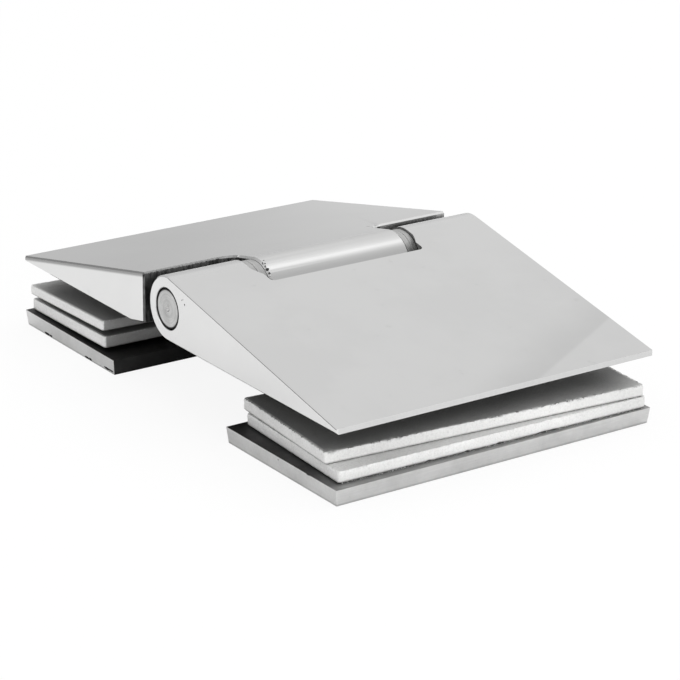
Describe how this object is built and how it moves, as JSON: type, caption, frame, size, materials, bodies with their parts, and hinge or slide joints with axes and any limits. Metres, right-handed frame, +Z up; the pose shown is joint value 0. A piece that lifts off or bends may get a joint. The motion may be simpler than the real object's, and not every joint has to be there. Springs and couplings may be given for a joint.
{
  "type": "glass door hinge",
  "caption": "Stainless steel clamp hinge for frameless glass doors: wedge-shaped leaves turn on a pin, and screwed back plates with gaskets grip the panes.",
  "frame": {"origin": "on the surface the back plates stand on, at the middle of the hinge, under the hinge axis", "axes": "+X along the hinge axis, +Y towards the left leaf, +Z up from the back plates to the leaves"},
  "size_m": [0.0912, 0.14, 0.0331],
  "materials": {
    "leaf_steel": "polished, with light wear",
    "pin_steel": "turned",
    "plate_steel": "satin, with nicked edges",
    "screw_steel": "satin",
    "washer_steel": "ground",
    "bush_plastic": "smooth",
    "gasket_rubber": "matte, with rough cut edges"
  },
  "bodies": {
    "right_leaf": {"right_leaf": "leaf_steel", "hinge_pin": "pin_steel", "near_inner_washer": "washer_steel", "near_outer_washer": "washer_steel", "far_inner_washer": "washer_steel", "far_outer_washer": "washer_steel", "near_pin_screw": "screw_steel", "far_pin_screw": "screw_steel", "right_near_clamp_screw": "screw_steel", "right_far_clamp_screw": "screw_steel"},
    "left_leaf": {"left_leaf": "leaf_steel", "near_bush": "bush_plastic", "far_bush": "bush_plastic", "left_near_clamp_screw": "screw_steel", "left_far_clamp_screw": "screw_steel"},
    "right_clamp": {"right_back_plate": "plate_steel", "right_lower_gasket": "gasket_rubber", "right_upper_gasket": "gasket_rubber"},
    "left_clamp": {"left_back_plate": "plate_steel", "left_lower_gasket": "gasket_rubber", "left_upper_gasket": "gasket_rubber"}
  },
  "joints": [
    {"name": "hinge", "type": "hinge", "parent": "right_leaf", "child": "left_leaf", "pos_m": [0, 0, 0.0251], "axis": [1, 0, 0], "range_deg": [-90, 115]},
    {"name": "right_clamping", "type": "slide", "parent": "right_leaf", "child": "right_clamp", "axis": [0, 0, 1], "range_m": [0, 0.0069]},
    {"name": "left_clamping", "type": "slide", "parent": "left_leaf", "child": "left_clamp", "axis": [0, 0, 1], "range_m": [0, 0.0044]}
  ]
}
